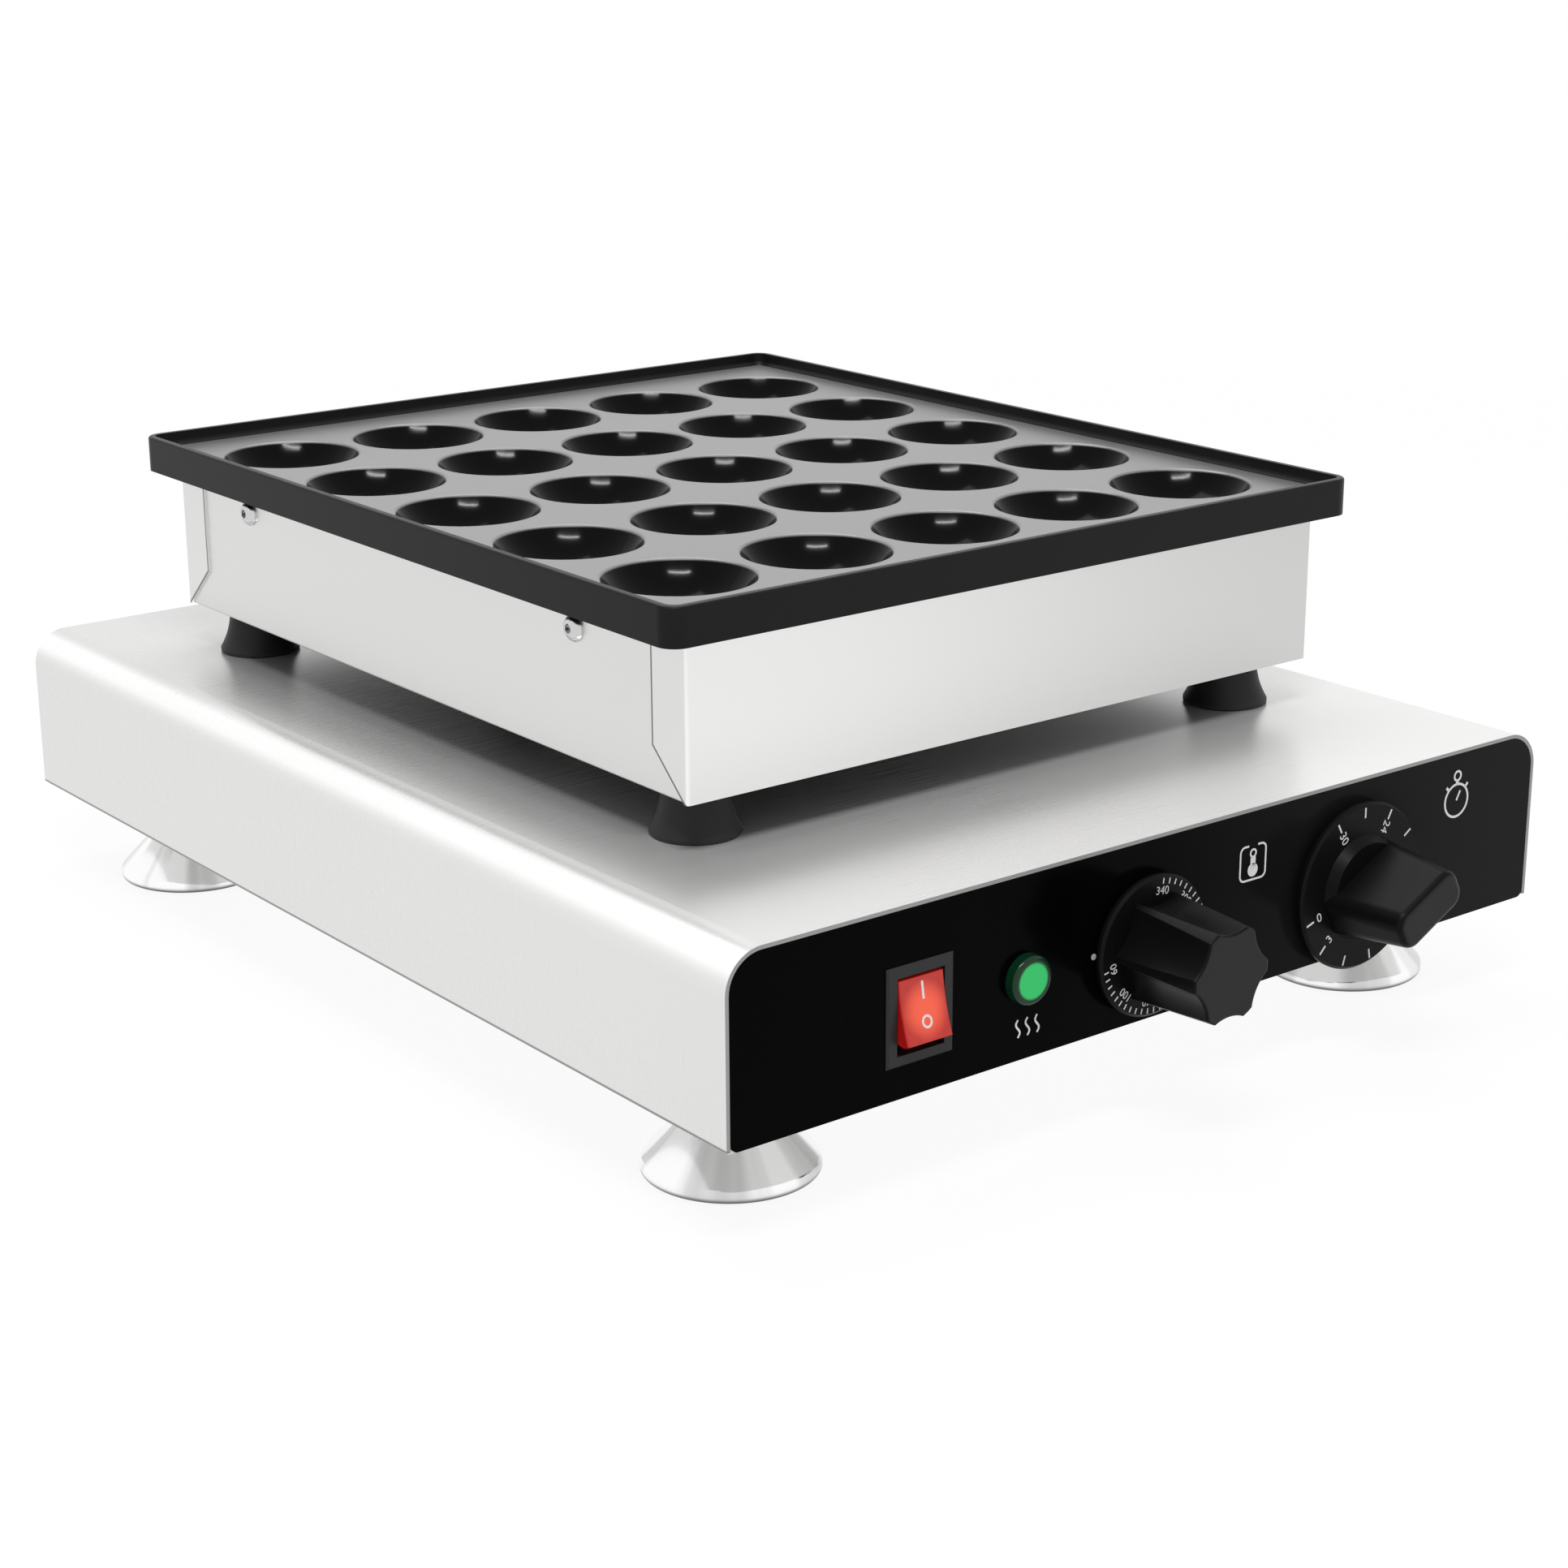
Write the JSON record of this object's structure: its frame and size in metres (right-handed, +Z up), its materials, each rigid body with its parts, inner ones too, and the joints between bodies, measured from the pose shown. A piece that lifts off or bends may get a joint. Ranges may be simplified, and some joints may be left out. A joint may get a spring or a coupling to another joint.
{
  "type": "mini-pancake maker",
  "caption": "Electric tabletop mini-pancake maker: a dark cast plate of round bowls on a steel heater box, over a sheet-steel base with rocker switch, pilot lamp and dials.",
  "frame": {"origin": "on the table, under the middle of the whole outline with knobs and cable gland", "axes": "+Z up; the control panel faces -Y; +X to the right seen from the panel's side"},
  "size_m": [0.3214, 0.4672, 0.1608],
  "materials": {
    "stainless": "satin brushed",
    "panel_black": "gloss",
    "foot_chrome": "polished",
    "rubber": "matt",
    "fastener": "bright",
    "zinc_sheet": "zinc plated",
    "tray_coating": "dark non-stick coating",
    "element_sheath": "heat-darkened",
    "insulation": "mineral fibre",
    "copper": "drawn copper",
    "brass": "bright",
    "knob_black": "satin",
    "switch_black": "satin",
    "rocker_red": "gloss, lit from inside",
    "lens_green": "clear green",
    "lamp_green": "lit",
    "lead_sleeve": "woven glass sleeve"
  },
  "bodies": {
    "base": {"base_cover": "stainless", "base_pan": "stainless", "heater_pan": "stainless", "heater_front_wall": "stainless", "heater_back_wall": "stainless", "control_panel": "panel_black", "foot_front_left": "foot_chrome", "foot_front_right": "foot_chrome", "foot_back_left": "foot_chrome", "foot_back_right": "foot_chrome", "foot_pads": "rubber", "standoff_front_left": "rubber", "standoff_front_right": "rubber", "standoff_back_left": "rubber", "standoff_back_right": "rubber", "conduit_bushes": "rubber", "cover_screws": "fastener", "foot_nuts": "fastener", "standoff_bolts": "fastener", "standoff_nuts": "fastener", "side_screws": "fastener", "bracket_screws": "fastener", "clamp_screws": "fastener", "control_screws": "fastener", "pilot_nut": "fastener", "earth_stud": "fastener", "rocker_pin": "fastener", "tray_brackets": "zinc_sheet", "element_clamps": "zinc_sheet", "reflector_plate": "zinc_sheet", "thermostat_body": "zinc_sheet", "timer_body": "zinc_sheet", "wire_conduit": "zinc_sheet", "baking_tray": "tray_coating", "heating_element_left": "element_sheath", "heating_element_right": "element_sheath", "insulation_pad": "insulation", "thermostat_bulb": "copper", "switch_tabs": "brass", "terminal_screws": "brass", "rocker_housing": "switch_black", "terminal_block": "switch_black", "gland_body": "switch_black", "gland_dome": "switch_black", "gland_locknut": "switch_black", "pilot_lens": "lens_green", "pilot_body": "lamp_green", "heater_leads": "lead_sleeve"},
    "thermostat_control": {"thermostat_knob": "knob_black", "thermostat_shaft": "zinc_sheet"},
    "timer_control": {"timer_knob": "knob_black", "timer_shaft": "zinc_sheet"},
    "switch_rocker": {"rocker": "rocker_red"}
  },
  "joints": [
    {"name": "thermostat_turn", "type": "hinge", "parent": "base", "child": "thermostat_control", "pos_m": [-0.011, -0.19835, 0.0543], "axis": [0, 1, 0], "range_deg": [0, 270]},
    {"name": "timer_turn", "type": "hinge", "parent": "base", "child": "timer_control", "pos_m": [0.0762, -0.19835, 0.053], "axis": [0, 1, 0], "range_deg": [0, 300]},
    {"name": "rocker_tip", "type": "hinge", "parent": "base", "child": "switch_rocker", "pos_m": [-0.0954, -0.19535, 0.0543], "axis": [1, 0, 0], "range_deg": [0, 28]}
  ]
}
